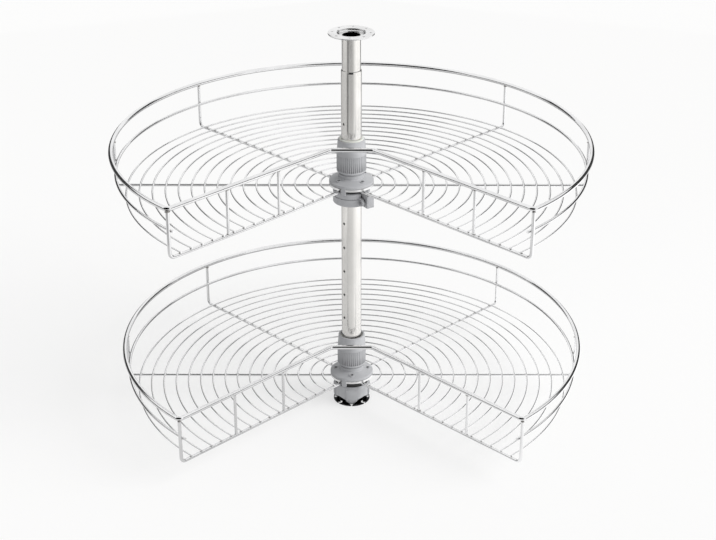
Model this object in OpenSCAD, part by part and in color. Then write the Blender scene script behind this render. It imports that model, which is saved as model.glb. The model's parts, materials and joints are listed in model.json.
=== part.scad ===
// Corner carousel fitting for a kitchen base cabinet: two three-quarter wire baskets
// that turn on a telescopic post, which is screwed to the cabinet's floor and top.
// Millimetres. The origin is the middle of the base flange's underside, +Z is up and
// the notch of both baskets points towards -Y.

/* [Basket] */
// Diameter of a basket over its rim wire
basket_d = 820; // [740:5:900]
// How far in front of the post's axis the two sides of the square notch would meet
notch_tip = 10; // [8:0.5:13]
// Height of the rim wire above the spokes
basket_h = 83; // [76:1:110]
// Drop of the middle side ring below the rim
mid_drop = 38; // [25:1:45]
// Length of the rim's cross bar in front of the hub
bar_w = 73; // [66:1:84]
// Number of floor rings
ring_count = 16; // [14:1:18]
// Gap from the rim down to the outermost floor ring, measured on the radius
ring_inset = 21; // [16:1:26]
// Radius of the innermost floor ring
ring_in_r = 53.5; // [48:0.5:60]
// Turn of the two rear spokes from the side spokes
rear_turn = 45; // [38:1:52]

/* [Wires] */
// Rim wire
rim_wire_d = 8; // [7:0.5:9]
// Corner post and bottom rail wire
frame_wire_d = 6; // [5.5:0.25:6.5]
// Spoke wire
spoke_wire_d = 5; // [4.5:0.25:5.5]
// Middle side ring wire
mid_wire_d = 5; // [4:0.25:5.5]
// Floor ring wire
ring_wire_d = 3; // [2.5:0.25:4]
// Bend of the rim into its cross bar
bar_bend = 11; // [8:0.5:14]
// Bend from a corner post into its bottom rail
frame_bend = 9; // [7:0.5:12]
// Bend from a spoke into its upright
spoke_bend = 8; // [6:0.5:11]
// Length of a floor ring's end past the middle of the bottom rail
ring_tail = 3; // [2:0.5:5]
// Length of the middle ring's end past the corner post
mid_tail = 6; // [4:0.5:9]

/* [Hub] */
// Hub flange
hub_flange_d = 77; // [74:0.5:80]
// Neck between the flange and the fluted sleeve
hub_neck_d = 45; // [43:0.25:46]
// Fluted sleeve
hub_sleeve_d = 51; // [49.5:0.25:52]
// Top of the sleeve
hub_top_d = 47; // [45:0.25:49]
// Height of the sleeve's top above the middle of the rim wire
hub_over_rim = 3; // [0:0.5:8]
// Number of flutes
flute_count = 44; // [36:1:46]
// Height of the fluted band
flute_h = 28; // [14:1:32]
// Wall of the two nylon bushes
bush_wall = 2; // [1.5:0.25:2.25]
// Thickness of the welded steel disc under the flange
disc_t = 4; // [3:0.25:5]
// Pitch circle of the four flange screws
hub_screw_pcd = 57; // [56:0.5:60]
// Turn of the screw cross on the upper hub
upper_hub_turn = 40; // [0:1:89]

/* [Post] */
// Outer diameter of the lower tube
post_d = 35; // [33:0.25:37]
// Wall of both tubes
tube_wall = 1; // [0.8:0.1:1.4]
// Gap between the two tubes on the radius
tube_gap = 0.5; // [0.4:0.05:0.7]
// Height of the lower tube
post_h = 632.5; // [610:0.5:660]
// How far the top flange's face stands above the lower tube's mouth
top_reach = 64.5; // [40:0.5:140]
// Length of the sliding upper tube
inner_tube_len = 362; // [320:1:400]
// Diameter of the row of holes in the lower tube
row_hole_d = 4.6; // [3:0.2:6]
// Pitch of the row of holes
row_pitch = 46; // [40:1:50]
// Height of the lowest hole
row_first_z = 171.5; // [150:0.5:190]
// Number of holes in the row
row_count = 9; // [6:1:9]
// Direction of the row, measured from +X
row_turn = -137; // [-180:1:0]

/* [Flanges] */
// Base flange
base_flange_d = 66; // [64:0.5:76]
// Thickness of the base flange
base_flange_t = 2.5; // [2:0.25:5]
// Pitch circle of the base flange's screw holes
base_pcd = 58.4; // [58:0.2:58.8]
// Top flange
top_flange_d = 78; // [76:0.2:92]
// Thickness of the top flange's sheet
top_flange_t = 2.5; // [2:0.25:3.5]
// Pitch circle of the top flange's screw holes
top_pcd = 64; // [63:0.5:68]
// Well in the middle of the top flange
well_d = 47.4; // [44:0.2:50]
// Depth of the well
well_h = 4.5; // [3.5:0.25:7]
// Screw holes in both flanges
screw_hole_d = 4.2; // [3.5:0.1:4.4]
// Number of screw holes in each flange
screw_hole_count = 8; // [6:2:8]

/* [Carriers] */
// Height of the base bearing that carries the lower basket
bearing_h = 40; // [34:0.5:48]
// Height of the bearing's race above its shoulder
race_h = 5; // [3:0.5:7]
// Diameter of the base bearing over its lugs
bearing_d = 66.5; // [64:0.5:68]
// Height of the stop collar's underside, which sets the upper basket
collar_z = 395; // [360:1:400]
// Height of the stop collar
collar_h = 23.8; // [20:0.1:28]
// Diameter of the stop collar
collar_d = 64; // [60:0.5:68]
// Direction of the collar's slit, measured from +X
collar_turn = -57; // [-90:1:0]
// Width of the slit
collar_slit = 3; // [2:0.25:4]
// Clamp screw through the collar's ears
clamp_screw_d = 5; // [4:0.5:6]

/* [Hidden] */
$fn = 96;

// Colours
chrome = [0.80, 0.81, 0.82];
satin = [0.70, 0.69, 0.66];
grey_plastic = [0.56, 0.57, 0.58];
nylon = [0.90, 0.90, 0.88];
dark_steel = [0.30, 0.30, 0.31];

// Clearances
weld_gap = 0.02; // welded wires lie this close to each other
run_gap = 0.05; // shafts in bushes, on the radius
clamp_gap = 0.08; // the stop collar on the tube, on the radius
thrust_gap = 0.2; // under a turning hub
seat_gap = 0.05; // pieces of one body that seat in each other
bar_step = 0.05; // the cross bar is this much slimmer than its bends, on the radius
bar_plug = 0.2; // and ends this far inside them
cut = 1; // how far a cutter runs past a face

// Wire radii
rim_wire_r = rim_wire_d / 2;
frame_wire_r = frame_wire_d / 2;
spoke_wire_r = spoke_wire_d / 2;
mid_wire_r = mid_wire_d / 2;
ring_wire_r = ring_wire_d / 2;

// Basket plan: the rim carries the uprights, and the middle ring lies inside them
rim_r = basket_d / 2 - rim_wire_r;
upright_r = rim_r - 1;
mid_r = upright_r - spoke_wire_r - mid_wire_r - weld_gap;
post_r = mid_r + mid_wire_r + frame_wire_r + weld_gap;
ring_out_r = rim_r - ring_inset;
ring_pitch = (ring_out_r - ring_in_r) / (ring_count - 1);
side_off = hundredth(notch_tip / sqrt(2)); // the notch sides pass the axis at this distance
side_bar_counts = [5, 10]; // a side bar stands after this many floor rings, counted from outside

// Heights above a basket's spokes
frame_z = spoke_wire_r - frame_wire_r;
ring_z = spoke_wire_r + ring_wire_r + weld_gap;
wire_top = basket_h - rim_wire_r - weld_gap;
disc_z = spoke_wire_r + weld_gap;
disc_top = disc_z + disc_t;
hub_top = basket_h + hub_over_rim;

// Hub
post_tube_r = post_d / 2;
bush_in_r = post_tube_r + run_gap;
bush_out_r = bush_in_r + bush_wall;
hub_bore_r = bush_out_r + seat_gap;
hub_flange_r = hub_flange_d / 2;
hub_neck_r = hub_neck_d / 2;
hub_sleeve_r = hub_sleeve_d / 2;
hub_top_r = hub_top_d / 2;
hub_spigot_r = hub_neck_r + 1;
wire_in_r = hub_spigot_r + 5.5; // inner ends of the spokes and bottom rails
bush_lip_r = hub_spigot_r + 3.3;
bush_lip_t = 3;
rail_room = 1; // from the bottom rails down to a hub's underside
bush_drop = rail_room + frame_wire_d - spoke_wire_r; // from the spokes down to a hub's underside
flange_edge_h = 5.5;
flange_cone_h = 11;
neck_h = 10.5;
sleeve_edge = 1;
sleeve_band = 3.5; // plain band under the flutes
sleeve_groove_h = 3.5; // groove in the neck under the sleeve
sleeve_groove_r = hub_bore_r + 1.2;
flute_z = disc_top + flange_cone_h + neck_h + sleeve_band;
flute_r = 1.25;
flute_depth = 1;
bush_recess = 3; // the lower top bush ends below the sleeve's rim
bush_proud = 2; // the upper one stands above it
bush_collar = 1.8; // and is this much wider there
top_bush_h = 20;
bottom_bush_h = 18;
hub_screw_r = 1.75;
hub_screw_head_r = 2.8;
hub_screw_head_h = 2.2;
hub_screw_seat = disc_top + 4;
hub_screw_pitch_r = hub_screw_pcd / 2;
hub_boss_r = 4.8;
hub_boss_top = disc_top + 9.6;

// Key that holds the hub in the steel disc, close beside the left bottom rail
key_w = 8;
key_in_r = hub_flange_r - 3.5;
key_out_r = hub_flange_r + 1;
key_gap = 0.4;
key_room = 0.5; // from the rail to the key
key_turn = atan2(key_w / 2, key_in_r) - 45
    - acos((side_off + frame_wire_r + key_room) / norm([key_in_r, key_w / 2]));

// Post
outer_tube_in_r = post_tube_r - tube_wall;
inner_tube_r = outer_tube_in_r - tube_gap;
inner_tube_in_r = inner_tube_r - tube_wall;
glide_wall = tube_gap - 2 * run_gap;
glide_h = 24;
mouth_bevel = 0.7;
mouth_notch_w = 8;
mouth_notch_h = 3;
mouth_notch_turn = -92;
total_h = post_h + top_reach;
inner_tube_top = total_h - well_h;
inner_tube_z = inner_tube_top - inner_tube_len;

// Flanges
base_flange_r = base_flange_d / 2;
base_weld = 2.4;
top_flange_r = top_flange_d / 2;
well_r = well_d / 2;
screw_hole_r = screw_hole_d / 2;
sink_r = screw_hole_r + 1.7; // countersink
top_hole_turn = -5;

// Carriers
bearing_r = bearing_d / 2;
bearing_core_r = bearing_r - 2.2;
bearing_top = base_flange_t + bearing_h;
shoulder_z = bearing_top - race_h;
race_r = bush_lip_r + 1.5;
bearing_wall = 2.5;
bearing_crown = 5; // the bearing is hollow underneath, up to this far below its shoulder
arch_r = 16;
arch_drop = 4; // centre of the screw arches below the base flange's top
lug_w = 20;
lug_drop = 5; // from the shoulder down to the top of the lugs
collar_r = collar_d / 2;
collar_top = collar_z + collar_h;
ear_near = 5.5; // the near ear is round about the clamp screw
ear_near_r = 7;
ear_far = 15; // the far ear is a block
ear_reach = collar_r + 15.5;
clamp_r = collar_r + 4.5;
clamp_up = 10; // from the collar's underside to the clamp screw
clamp_head_r = clamp_screw_d / 2 + 1.75;
clamp_head_h = 2;
nut_r = clamp_screw_d / 2 + 2;
nut_t = 3.6;
nut_z = ear_far - nut_t - 0.4;

// Heights of the two baskets' spokes
lower_z = bearing_top + thrust_gap + bush_drop;
upper_z = collar_top + thrust_gap + bush_drop;

// Lengths along a bent wire are kept to the hundredth, so that its pieces meet face to face
function hundredth(x) = round(x * 100) / 100;
// How far along a notch side the point lies that is rho away from the axis
function along(rho) = hundredth(sqrt(rho * rho - side_off * side_off));
// Angle from -Y at which the circle of radius rho meets a notch side
function side_angle(rho) = 45 - asin(side_off / rho);
function ring_r(i) = ring_out_r - i * ring_pitch;
function arc_degrees(len, rho) = len / rho * 180 / PI;

// --- Shared shapes ---

// A wire bent round the Z axis from angle 0 to sweep
module arc_wire(bend, wire_r, sweep) {
    rotate_extrude(angle = sweep) translate([bend, 0]) circle(r = wire_r, $fn = 32);
}

// A straight wire along +X from x0 to x1
module straight_wire(wire_r, x0, x1) {
    translate([x0, 0, 0]) rotate([0, 90, 0]) cylinder(r = wire_r, h = x1 - x0, $fn = 32);
}

// A wire that runs out along +X from x0 and bends up at x1
module bent_wire(wire_r, x0, x1, bend, z0, z1) {
    translate([0, 0, z0]) straight_wire(wire_r, x0, x1 - bend);
    translate([x1 - bend, 0, z0 + bend]) rotate([90, 0, 0]) rotate([0, 0, -90]) arc_wire(bend, wire_r, 90);
    translate([x1, 0, z0 + bend]) cylinder(r = wire_r, h = z1 - z0 - bend, $fn = 32);
}

// Turns its children so that +X runs outwards beside a notch side, 1 is right and -1 is left
module on_side(side) {
    mirror([side < 0 ? 1 : 0, 0, 0]) rotate([0, 0, -45]) children();
}

// A three-quarter ring that ends past_side beyond the middle of each notch side
module notched_ring(ring_radius, wire_r, side_radius, past_side) {
    open = side_angle(side_radius) - arc_degrees(past_side, ring_radius);
    rotate([0, 0, open - 90]) arc_wire(ring_radius, wire_r, 360 - 2 * open);
}

module tube(r_out, r_in, z0, z1) {
    translate([0, 0, z0]) difference() {
        cylinder(r = r_out, h = z1 - z0);
        translate([0, 0, -cut]) cylinder(r = r_in, h = z1 - z0 + 2 * cut);
    }
}

module round_about(count, turn = 0) {
    for (i = [0 : count - 1]) rotate([0, 0, turn + i * 360 / count]) children();
}

// Cutter for a countersunk hole whose mouth is at z = 0 and points up
module sunk_hole(depth) {
    sink_h = sink_r - screw_hole_r;
    translate([0, 0, -depth - cut]) cylinder(r = screw_hole_r, h = depth + 2 * cut);
    translate([0, 0, -sink_h]) cylinder(r1 = screw_hole_r, r2 = sink_r + cut, h = sink_h + cut);
}

// --- Basket ---

module rim(z) {
    corner_x = rim_r - side_off;
    bar_corner = hundredth((notch_tip + bar_w / 2) * sqrt(2) - side_off);
    bar_start = hundredth(bar_corner + bar_bend * tan(22.5));
    bar_y = (bar_corner + side_off) / sqrt(2);
    bar_half = (bar_start - side_off - bar_bend) / sqrt(2) + bar_plug;
    color(chrome) translate([0, 0, z + basket_h]) {
        on_side(1) arc_wire(rim_r, rim_wire_r, 270);
        for (side = [-1, 1]) on_side(side) {
            translate([corner_x, 0, 0]) rotate([0, 0, -90]) arc_wire(side_off, rim_wire_r, 90);
            translate([0, -side_off, 0]) straight_wire(rim_wire_r, bar_start, corner_x);
            translate([bar_start, -side_off - bar_bend, 0]) rotate([0, 0, 90])
                arc_wire(bar_bend, rim_wire_r, 45);
        }
        translate([0, -bar_y, 0]) straight_wire(rim_wire_r - bar_step, -bar_half, bar_half);
    }
}

module mid_ring(z) {
    color(chrome) translate([0, 0, z + basket_h - mid_drop])
        notched_ring(mid_r, mid_wire_r, post_r, mid_tail);
}

module floor_rings(z) {
    color(chrome) translate([0, 0, z + ring_z])
        for (i = [0 : ring_count - 1]) notched_ring(ring_r(i), ring_wire_r, ring_r(i), ring_tail);
}

module spoke(z, turn) {
    color(chrome) translate([0, 0, z]) rotate([0, 0, turn])
        bent_wire(spoke_wire_r, wire_in_r, upright_r, spoke_bend, 0, wire_top);
}

module side_frame(z, side) {
    color(chrome) translate([0, 0, z]) on_side(side) translate([0, -side_off, 0])
        bent_wire(frame_wire_r, along(wire_in_r), along(post_r), frame_bend, frame_z, wire_top);
}

module side_bars(z) {
    bar_z = frame_z + frame_wire_r + weld_gap;
    color(chrome) translate([0, 0, z]) for (side = [-1, 1], count = side_bar_counts) on_side(side)
        translate([along(ring_r(count - 0.5)), -side_off, bar_z])
            cylinder(r = spoke_wire_r, h = wire_top - bar_z, $fn = 32);
}

module hub_disc(z, turn) {
    color(chrome) translate([0, 0, z]) difference() {
        tube(hub_flange_r, hub_spigot_r + seat_gap, disc_z, disc_top);
        round_about(4, turn) translate([hub_screw_pitch_r, 0, disc_z - cut])
            cylinder(r = hub_screw_r + seat_gap, h = disc_t + 2 * cut, $fn = 32);
        on_key() translate([key_in_r - seat_gap, -key_w / 2 - seat_gap, disc_z - cut])
            cube([hub_flange_r, key_w + 2 * seat_gap, disc_t + 2 * cut]);
    }
}

// Turns its children so that +X runs outwards through the key
module on_key() {
    rotate([0, 0, key_turn]) children();
}

// The hub's outline up to the fluted band
module hub_foot_outline() {
    edge = 0.8;
    edge_z = disc_top + seat_gap + flange_edge_h;
    cone_z = disc_top + flange_cone_h;
    sleeve_z = cone_z + neck_h;
    polygon([
        [hub_bore_r, bush_lip_t - bush_drop + seat_gap], [hub_spigot_r, bush_lip_t - bush_drop + seat_gap],
        [hub_spigot_r, disc_top + seat_gap], [hub_flange_r - edge, disc_top + seat_gap],
        [hub_flange_r, disc_top + seat_gap + edge], [hub_flange_r, edge_z - edge],
        [hub_flange_r - edge, edge_z], [hub_neck_r + edge, cone_z], [hub_neck_r, cone_z + edge],
        [hub_neck_r, sleeve_z - sleeve_groove_h - 0.6], [hub_neck_r - 0.6, sleeve_z - sleeve_groove_h],
        [sleeve_groove_r, sleeve_z - sleeve_groove_h], [sleeve_groove_r, sleeve_z],
        [hub_sleeve_r - sleeve_edge, sleeve_z],
        [hub_sleeve_r, sleeve_z + sleeve_edge], [hub_sleeve_r, flute_z], [hub_bore_r, flute_z]
    ]);
}

module hub(z, turn) {
    lip = 0.8;
    flute_top = flute_z + flute_h;
    key_low = key_gap - bush_drop;
    key_top = disc_top + seat_gap + flange_edge_h - 1;
    color(grey_plastic) translate([0, 0, z]) difference() {
        union() {
            rotate_extrude() hub_foot_outline();
            round_about(4, turn) translate([hub_screw_pitch_r, 0, disc_top + seat_gap])
                cylinder(r = hub_boss_r, h = hub_boss_top - disc_top, $fn = 32);
            translate([0, 0, flute_z]) linear_extrude(flute_h) difference() {
                circle(r = hub_sleeve_r);
                circle(r = hub_bore_r);
                round_about(flute_count) translate([hub_sleeve_r + flute_r - flute_depth, 0])
                    circle(r = flute_r, $fn = 16);
            }
            on_key() intersection() {
                translate([0, 0, key_low]) cylinder(r = key_out_r, h = key_top - key_low);
                translate([key_in_r, -key_w / 2, key_low]) cube([hub_flange_r, key_w, hub_top]);
            }
            rotate_extrude() polygon([
                [hub_bore_r, flute_top], [hub_sleeve_r, flute_top], [hub_top_r, hub_top - lip],
                [hub_top_r - lip, hub_top], [hub_bore_r + lip, hub_top], [hub_bore_r, hub_top - lip]
            ]);
        }
        round_about(4, turn) translate([hub_screw_pitch_r, 0, 0]) {
            cylinder(r = hub_screw_r + seat_gap, h = hub_screw_seat + cut, $fn = 32);
            translate([0, 0, hub_screw_seat])
                cylinder(r = hub_screw_head_r + 0.3, h = hub_boss_top - hub_screw_seat + 2 * cut, $fn = 32);
        }
    }
}

// Recessed in the sleeve, or with a collar that stands on the sleeve's rim
module top_bush(z, proud) {
    collar_low = hub_top + seat_gap;
    bush_top = proud ? hub_top + bush_proud : hub_top - bush_recess;
    bush_low = hub_top - bush_recess - top_bush_h;
    color(nylon) translate([0, 0, z]) rotate_extrude() polygon(concat(
        [[bush_in_r, bush_low], [bush_out_r, bush_low]],
        proud ? [[bush_out_r, collar_low], [bush_out_r + bush_collar, collar_low],
            [bush_out_r + bush_collar, bush_top - 0.5], [bush_out_r + bush_collar - 0.5, bush_top]]
            : [[bush_out_r, bush_top]],
        [[bush_in_r, bush_top]]
    ));
}

module bottom_bush(z) {
    color(nylon) translate([0, 0, z - bush_drop]) rotate_extrude() polygon([
        [bush_in_r, 0], [bush_lip_r, 0], [bush_lip_r, bush_lip_t],
        [bush_out_r, bush_lip_t], [bush_out_r, bottom_bush_h], [bush_in_r, bottom_bush_h]
    ]);
}

module hub_screws(z, turn) {
    recess_r = 1.3;
    color(dark_steel) translate([0, 0, z]) round_about(4, turn) translate([hub_screw_pitch_r, 0, 0])
        difference() {
            union() {
                translate([0, 0, disc_z])
                    cylinder(r = hub_screw_r, h = hub_screw_seat - disc_z + cut, $fn = 32);
                translate([0, 0, hub_screw_seat])
                    cylinder(r = hub_screw_head_r, h = hub_screw_head_h, $fn = 32);
            }
            translate([0, 0, hub_screw_seat + hub_screw_head_h / 2])
                cylinder(r = recess_r, h = hub_screw_head_h, $fn = 6);
        }
}

// --- Post ---

module base_flange() {
    bore_r = post_tube_r + seat_gap;
    color(chrome) difference() {
        rotate_extrude() polygon([
            [bore_r, 0], [base_flange_r, 0], [base_flange_r, base_flange_t - 0.6],
            [base_flange_r - 0.6, base_flange_t], [bore_r + base_weld, base_flange_t],
            [bore_r, base_flange_t + base_weld]
        ]);
        round_about(screw_hole_count) translate([base_pcd / 2, 0, base_flange_t]) sunk_hole(base_flange_t);
    }
}

module base_bearing() {
    bore_r = post_tube_r + seat_gap;
    foot_r = base_pcd / 2 - screw_hole_r;
    foot_in_r = foot_r - bearing_wall;
    waist_z = base_flange_t + 11;
    top_edge = 1.5;
    lug_top = shoulder_z - lug_drop;
    color(grey_plastic) difference() {
        union() {
            rotate_extrude() polygon([
                [bore_r, base_flange_t], [foot_r - 1, base_flange_t], [bearing_core_r, waist_z],
                [bearing_core_r, shoulder_z - top_edge], [bearing_core_r - top_edge, shoulder_z],
                [race_r, shoulder_z], [race_r, bearing_top - 0.6], [race_r - 0.6, bearing_top],
                [bore_r, bearing_top]
            ]);
            for (turn = [0, 90]) rotate([0, 0, turn]) intersection() {
                rotate_extrude() polygon([
                    [foot_in_r, base_flange_t], [foot_r, base_flange_t], [bearing_r, waist_z],
                    [bearing_r, lug_top - 1], [bearing_core_r, lug_top + 1], [foot_in_r, lug_top + 1]
                ]);
                translate([-bearing_r - cut, -lug_w / 2, 0])
                    cube([2 * (bearing_r + cut), lug_w, bearing_top]);
            }
        }
        rotate_extrude() polygon([
            [bore_r + bearing_wall, base_flange_t - cut], [foot_in_r - 1, base_flange_t - cut],
            [foot_in_r - 1, base_flange_t], [bearing_core_r - bearing_wall, waist_z],
            [bearing_core_r - bearing_wall, shoulder_z - bearing_crown],
            [bore_r + bearing_wall, shoulder_z - bearing_crown]
        ]);
        translate([0, 0, -cut])
            cylinder(r = bore_r + base_weld + 1, h = base_flange_t + base_weld + 1 + cut);
        round_about(4, 45) translate([bore_r + bearing_wall + 1, 0, base_flange_t - arch_drop])
            rotate([0, 90, 0]) cylinder(r = arch_r, h = bearing_r);
    }
}

module outer_tube() {
    color(satin) difference() {
        union() {
            cylinder(r = post_tube_r, h = post_h - mouth_bevel);
            translate([0, 0, post_h - mouth_bevel])
                cylinder(r1 = post_tube_r, r2 = post_tube_r - mouth_bevel, h = mouth_bevel);
        }
        translate([0, 0, -cut]) cylinder(r = outer_tube_in_r, h = post_h + 2 * cut);
        for (i = [0 : row_count - 1]) rotate([0, 0, row_turn])
            translate([0, 0, row_first_z + i * row_pitch]) rotate([0, 90, 0])
                cylinder(r = row_hole_d / 2, h = post_d, $fn = 32);
        rotate([0, 0, mouth_notch_turn]) translate([0, -mouth_notch_w / 2, post_h - mouth_notch_h])
            cube([post_d, mouth_notch_w, mouth_notch_h + cut]);
    }
}

module outer_tube_glide() {
    color(dark_steel)
        tube(outer_tube_in_r - run_gap, inner_tube_r + run_gap, post_h - glide_h, post_h - 0.4);
}

module inner_tube() {
    color(satin) tube(inner_tube_r, inner_tube_in_r, inner_tube_z, inner_tube_top);
}

module inner_tube_glide() {
    lip_t = 2;
    plug_h = 14;
    color(dark_steel) translate([0, 0, inner_tube_z - lip_t]) difference() {
        union() {
            cylinder(r = inner_tube_r + glide_wall, h = lip_t - seat_gap);
            cylinder(r = inner_tube_in_r - seat_gap, h = plug_h);
        }
        translate([0, 0, -cut]) cylinder(r = inner_tube_in_r - 2, h = plug_h + 2 * cut);
    }
}

module top_flange() {
    disc_low = total_h - top_flange_t;
    well_low = inner_tube_top - top_flange_t;
    well_out = well_r + top_flange_t;
    bore_r = inner_tube_r + seat_gap;
    color(chrome) difference() {
        rotate_extrude() polygon([
            [bore_r, well_low], [well_out - 1, well_low], [well_out, well_low + 1], [well_out, disc_low],
            [top_flange_r - 0.5, disc_low], [top_flange_r, disc_low + 0.5], [top_flange_r, total_h - 0.5],
            [top_flange_r - 0.5, total_h], [well_r + 0.8, total_h], [well_r, total_h - 0.8],
            [well_r, inner_tube_top + 0.8], [well_r - 0.8, inner_tube_top], [bore_r, inner_tube_top]
        ]);
        round_about(screw_hole_count, top_hole_turn) translate([top_pcd / 2, 0, disc_low])
            mirror([0, 0, 1]) sunk_hole(top_flange_t);
    }
}

// --- Stop collar ---

// Puts its children on the collar's slit: +X runs outwards along it
module on_slit() {
    translate([0, 0, collar_z]) rotate([0, 0, collar_turn]) children();
}

// The clamp screw's own line: +Z runs along it, from the near ear to the far ear
module on_clamp() {
    on_slit() translate([clamp_r, 0, clamp_up]) rotate([-90, 0, 0]) children();
}

module stop_collar() {
    groove_r = collar_r - 1.2;
    groove_low = collar_h - 10.8;
    groove_high = groove_low + 1.6;
    bore_r = post_tube_r + clamp_gap;
    edge = 1;
    ear_edge = 0.8;
    ear_root = 8;
    color(grey_plastic) difference() {
        union() {
            translate([0, 0, collar_z]) rotate_extrude() polygon([
                [bore_r, 0], [collar_r - edge, 0], [collar_r, edge],
                [collar_r, groove_low], [groove_r, groove_low],
                [groove_r, groove_high], [collar_r, groove_high],
                [collar_r, collar_h - edge], [collar_r - edge, collar_h], [bore_r, collar_h]
            ]);
            on_slit() translate([collar_r - ear_root, 0, ear_edge])
                cube([ear_reach - collar_r + ear_root, ear_far, collar_h - 2 * ear_edge]);
            on_clamp() translate([0, 0, -ear_near]) {
                cylinder(r = ear_near_r, h = ear_near);
                translate([collar_r - clamp_r - ear_root, -ear_near_r, 0])
                    cube([clamp_r - collar_r + ear_root, 2 * ear_near_r, ear_near]);
            }
        }
        on_slit() translate([post_tube_r - 3, -collar_slit / 2, -cut])
            cube([ear_reach, collar_slit, collar_h + 2 * cut]);
        on_clamp() translate([0, 0, -ear_near - cut])
            cylinder(r = clamp_screw_d / 2 + seat_gap, h = ear_near + ear_far + 2 * cut, $fn = 32);
        on_clamp() translate([0, 0, -ear_near - 2 * clamp_head_r])
            cylinder(r = clamp_head_r + 0.4, h = 2 * clamp_head_r + clamp_head_h + seat_gap, $fn = 48);
        on_clamp() translate([0, 0, nut_z - seat_gap])
            cylinder(r = nut_r + seat_gap, h = nut_t + cut, $fn = 6);
    }
}

// Its low head is sunk in the near ear, and it ends in the nut in the far ear
module clamp_screw() {
    socket_r = clamp_screw_d / 4 + 0.25;
    color(dark_steel) on_clamp() translate([0, 0, -ear_near]) difference() {
        union() {
            cylinder(r = clamp_head_r, h = clamp_head_h, $fn = 48);
            cylinder(r = clamp_screw_d / 2, h = ear_near + ear_far - 0.2, $fn = 32);
        }
        translate([0, 0, -cut]) cylinder(r = socket_r, h = clamp_head_h / 2 + cut, $fn = 6);
    }
}

module clamp_nut() {
    color(dark_steel) on_clamp() translate([0, 0, nut_z]) difference() {
        cylinder(r = nut_r, h = nut_t, $fn = 6);
        translate([0, 0, -cut]) cylinder(r = clamp_screw_d / 2 + seat_gap, h = nut_t + 2 * cut, $fn = 32);
    }
}

base_flange();
base_bearing();
outer_tube();
outer_tube_glide();
inner_tube();
inner_tube_glide();
top_flange();
stop_collar();
clamp_screw();
clamp_nut();
rim(upper_z);  // upper_rim
mid_ring(upper_z);  // upper_mid_ring
floor_rings(upper_z);  // upper_floor_rings
spoke(upper_z, 180);  // upper_left_spoke
spoke(upper_z, 0);  // upper_right_spoke
spoke(upper_z, 180 - rear_turn);  // upper_rear_left_spoke
spoke(upper_z, rear_turn);  // upper_rear_right_spoke
side_frame(upper_z, -1);  // upper_left_frame
side_frame(upper_z, 1);  // upper_right_frame
side_bars(upper_z);  // upper_side_bars
hub_disc(upper_z, upper_hub_turn);  // upper_hub_disc
hub(upper_z, upper_hub_turn);  // upper_hub
top_bush(upper_z, true);  // upper_top_bush
bottom_bush(upper_z);  // upper_bottom_bush
hub_screws(upper_z, upper_hub_turn);  // upper_hub_screws
rim(lower_z);  // lower_rim
mid_ring(lower_z);  // lower_mid_ring
floor_rings(lower_z);  // lower_floor_rings
spoke(lower_z, 180);  // lower_left_spoke
spoke(lower_z, 0);  // lower_right_spoke
spoke(lower_z, 180 - rear_turn);  // lower_rear_left_spoke
spoke(lower_z, rear_turn);  // lower_rear_right_spoke
side_frame(lower_z, -1);  // lower_left_frame
side_frame(lower_z, 1);  // lower_right_frame
side_bars(lower_z);  // lower_side_bars
hub_disc(lower_z, 0);  // lower_hub_disc
hub(lower_z, 0);  // lower_hub
top_bush(lower_z, false);  // lower_top_bush
bottom_bush(lower_z);  // lower_bottom_bush
hub_screws(lower_z, 0);  // lower_hub_screws
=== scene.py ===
# Corner carousel: two three-quarter wire baskets that turn on a telescopic post.
import json
import math

import bpy
from mathutils import Matrix, Vector


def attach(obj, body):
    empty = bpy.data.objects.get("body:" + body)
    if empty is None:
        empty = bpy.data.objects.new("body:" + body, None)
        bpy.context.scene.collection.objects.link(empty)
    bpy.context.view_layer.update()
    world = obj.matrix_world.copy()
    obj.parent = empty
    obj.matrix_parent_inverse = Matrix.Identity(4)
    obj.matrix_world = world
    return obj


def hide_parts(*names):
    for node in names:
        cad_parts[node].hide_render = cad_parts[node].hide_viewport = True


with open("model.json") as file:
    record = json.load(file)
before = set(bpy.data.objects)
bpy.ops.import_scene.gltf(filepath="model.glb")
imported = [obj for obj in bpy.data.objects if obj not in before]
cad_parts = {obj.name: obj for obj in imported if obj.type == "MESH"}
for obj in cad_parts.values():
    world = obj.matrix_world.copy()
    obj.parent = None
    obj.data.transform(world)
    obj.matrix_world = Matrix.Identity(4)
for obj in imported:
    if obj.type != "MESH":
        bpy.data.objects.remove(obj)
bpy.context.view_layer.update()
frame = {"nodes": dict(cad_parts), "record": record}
nodes = frame["nodes"]
print("frame loaded:", len(nodes), "solids")

photoCamera = {
    "focalPixels": 1572.5,  # found by fitting the baskets' corners, rims and spokes
    "pixelsWide": 716,
    "sensorWidth": 36.0,
    "aim": (0.0114, 0.0, 0.2605),
    "distance": 2.7841,
    "elevation": 26.05,
    "roll": 0.05,
    "farthest": 50.0,
}


def makeCamera(spec):
    data = bpy.data.cameras.new("photoCamera")
    data.sensor_width = spec["sensorWidth"]
    data.lens = spec["focalPixels"] / spec["pixelsWide"] * spec["sensorWidth"]
    data.clip_end = spec["farthest"]
    cam = bpy.data.objects.new("photoCamera", data)
    up = math.radians(spec["elevation"])
    away = Vector((0.0, -math.cos(up), math.sin(up))) * spec["distance"]
    cam.location = Vector(spec["aim"]) + away
    tilt = Matrix.Rotation(math.radians(90.0 - spec["elevation"]), 4, "X")
    cam.rotation_euler = (tilt @ Matrix.Rotation(math.radians(spec["roll"]), 4, "Z")).to_euler()
    bpy.context.scene.collection.objects.link(cam)
    bpy.context.scene.camera = cam


makeCamera(photoCamera)
print("camera placed")


def addNode(tree, kind, inputs=None, **settings):
    node = tree.nodes.new(kind)
    for key, value in settings.items():
        setattr(node, key, value)
    for key, value in (inputs or {}).items():
        node.inputs[key].default_value = value
    return node


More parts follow.
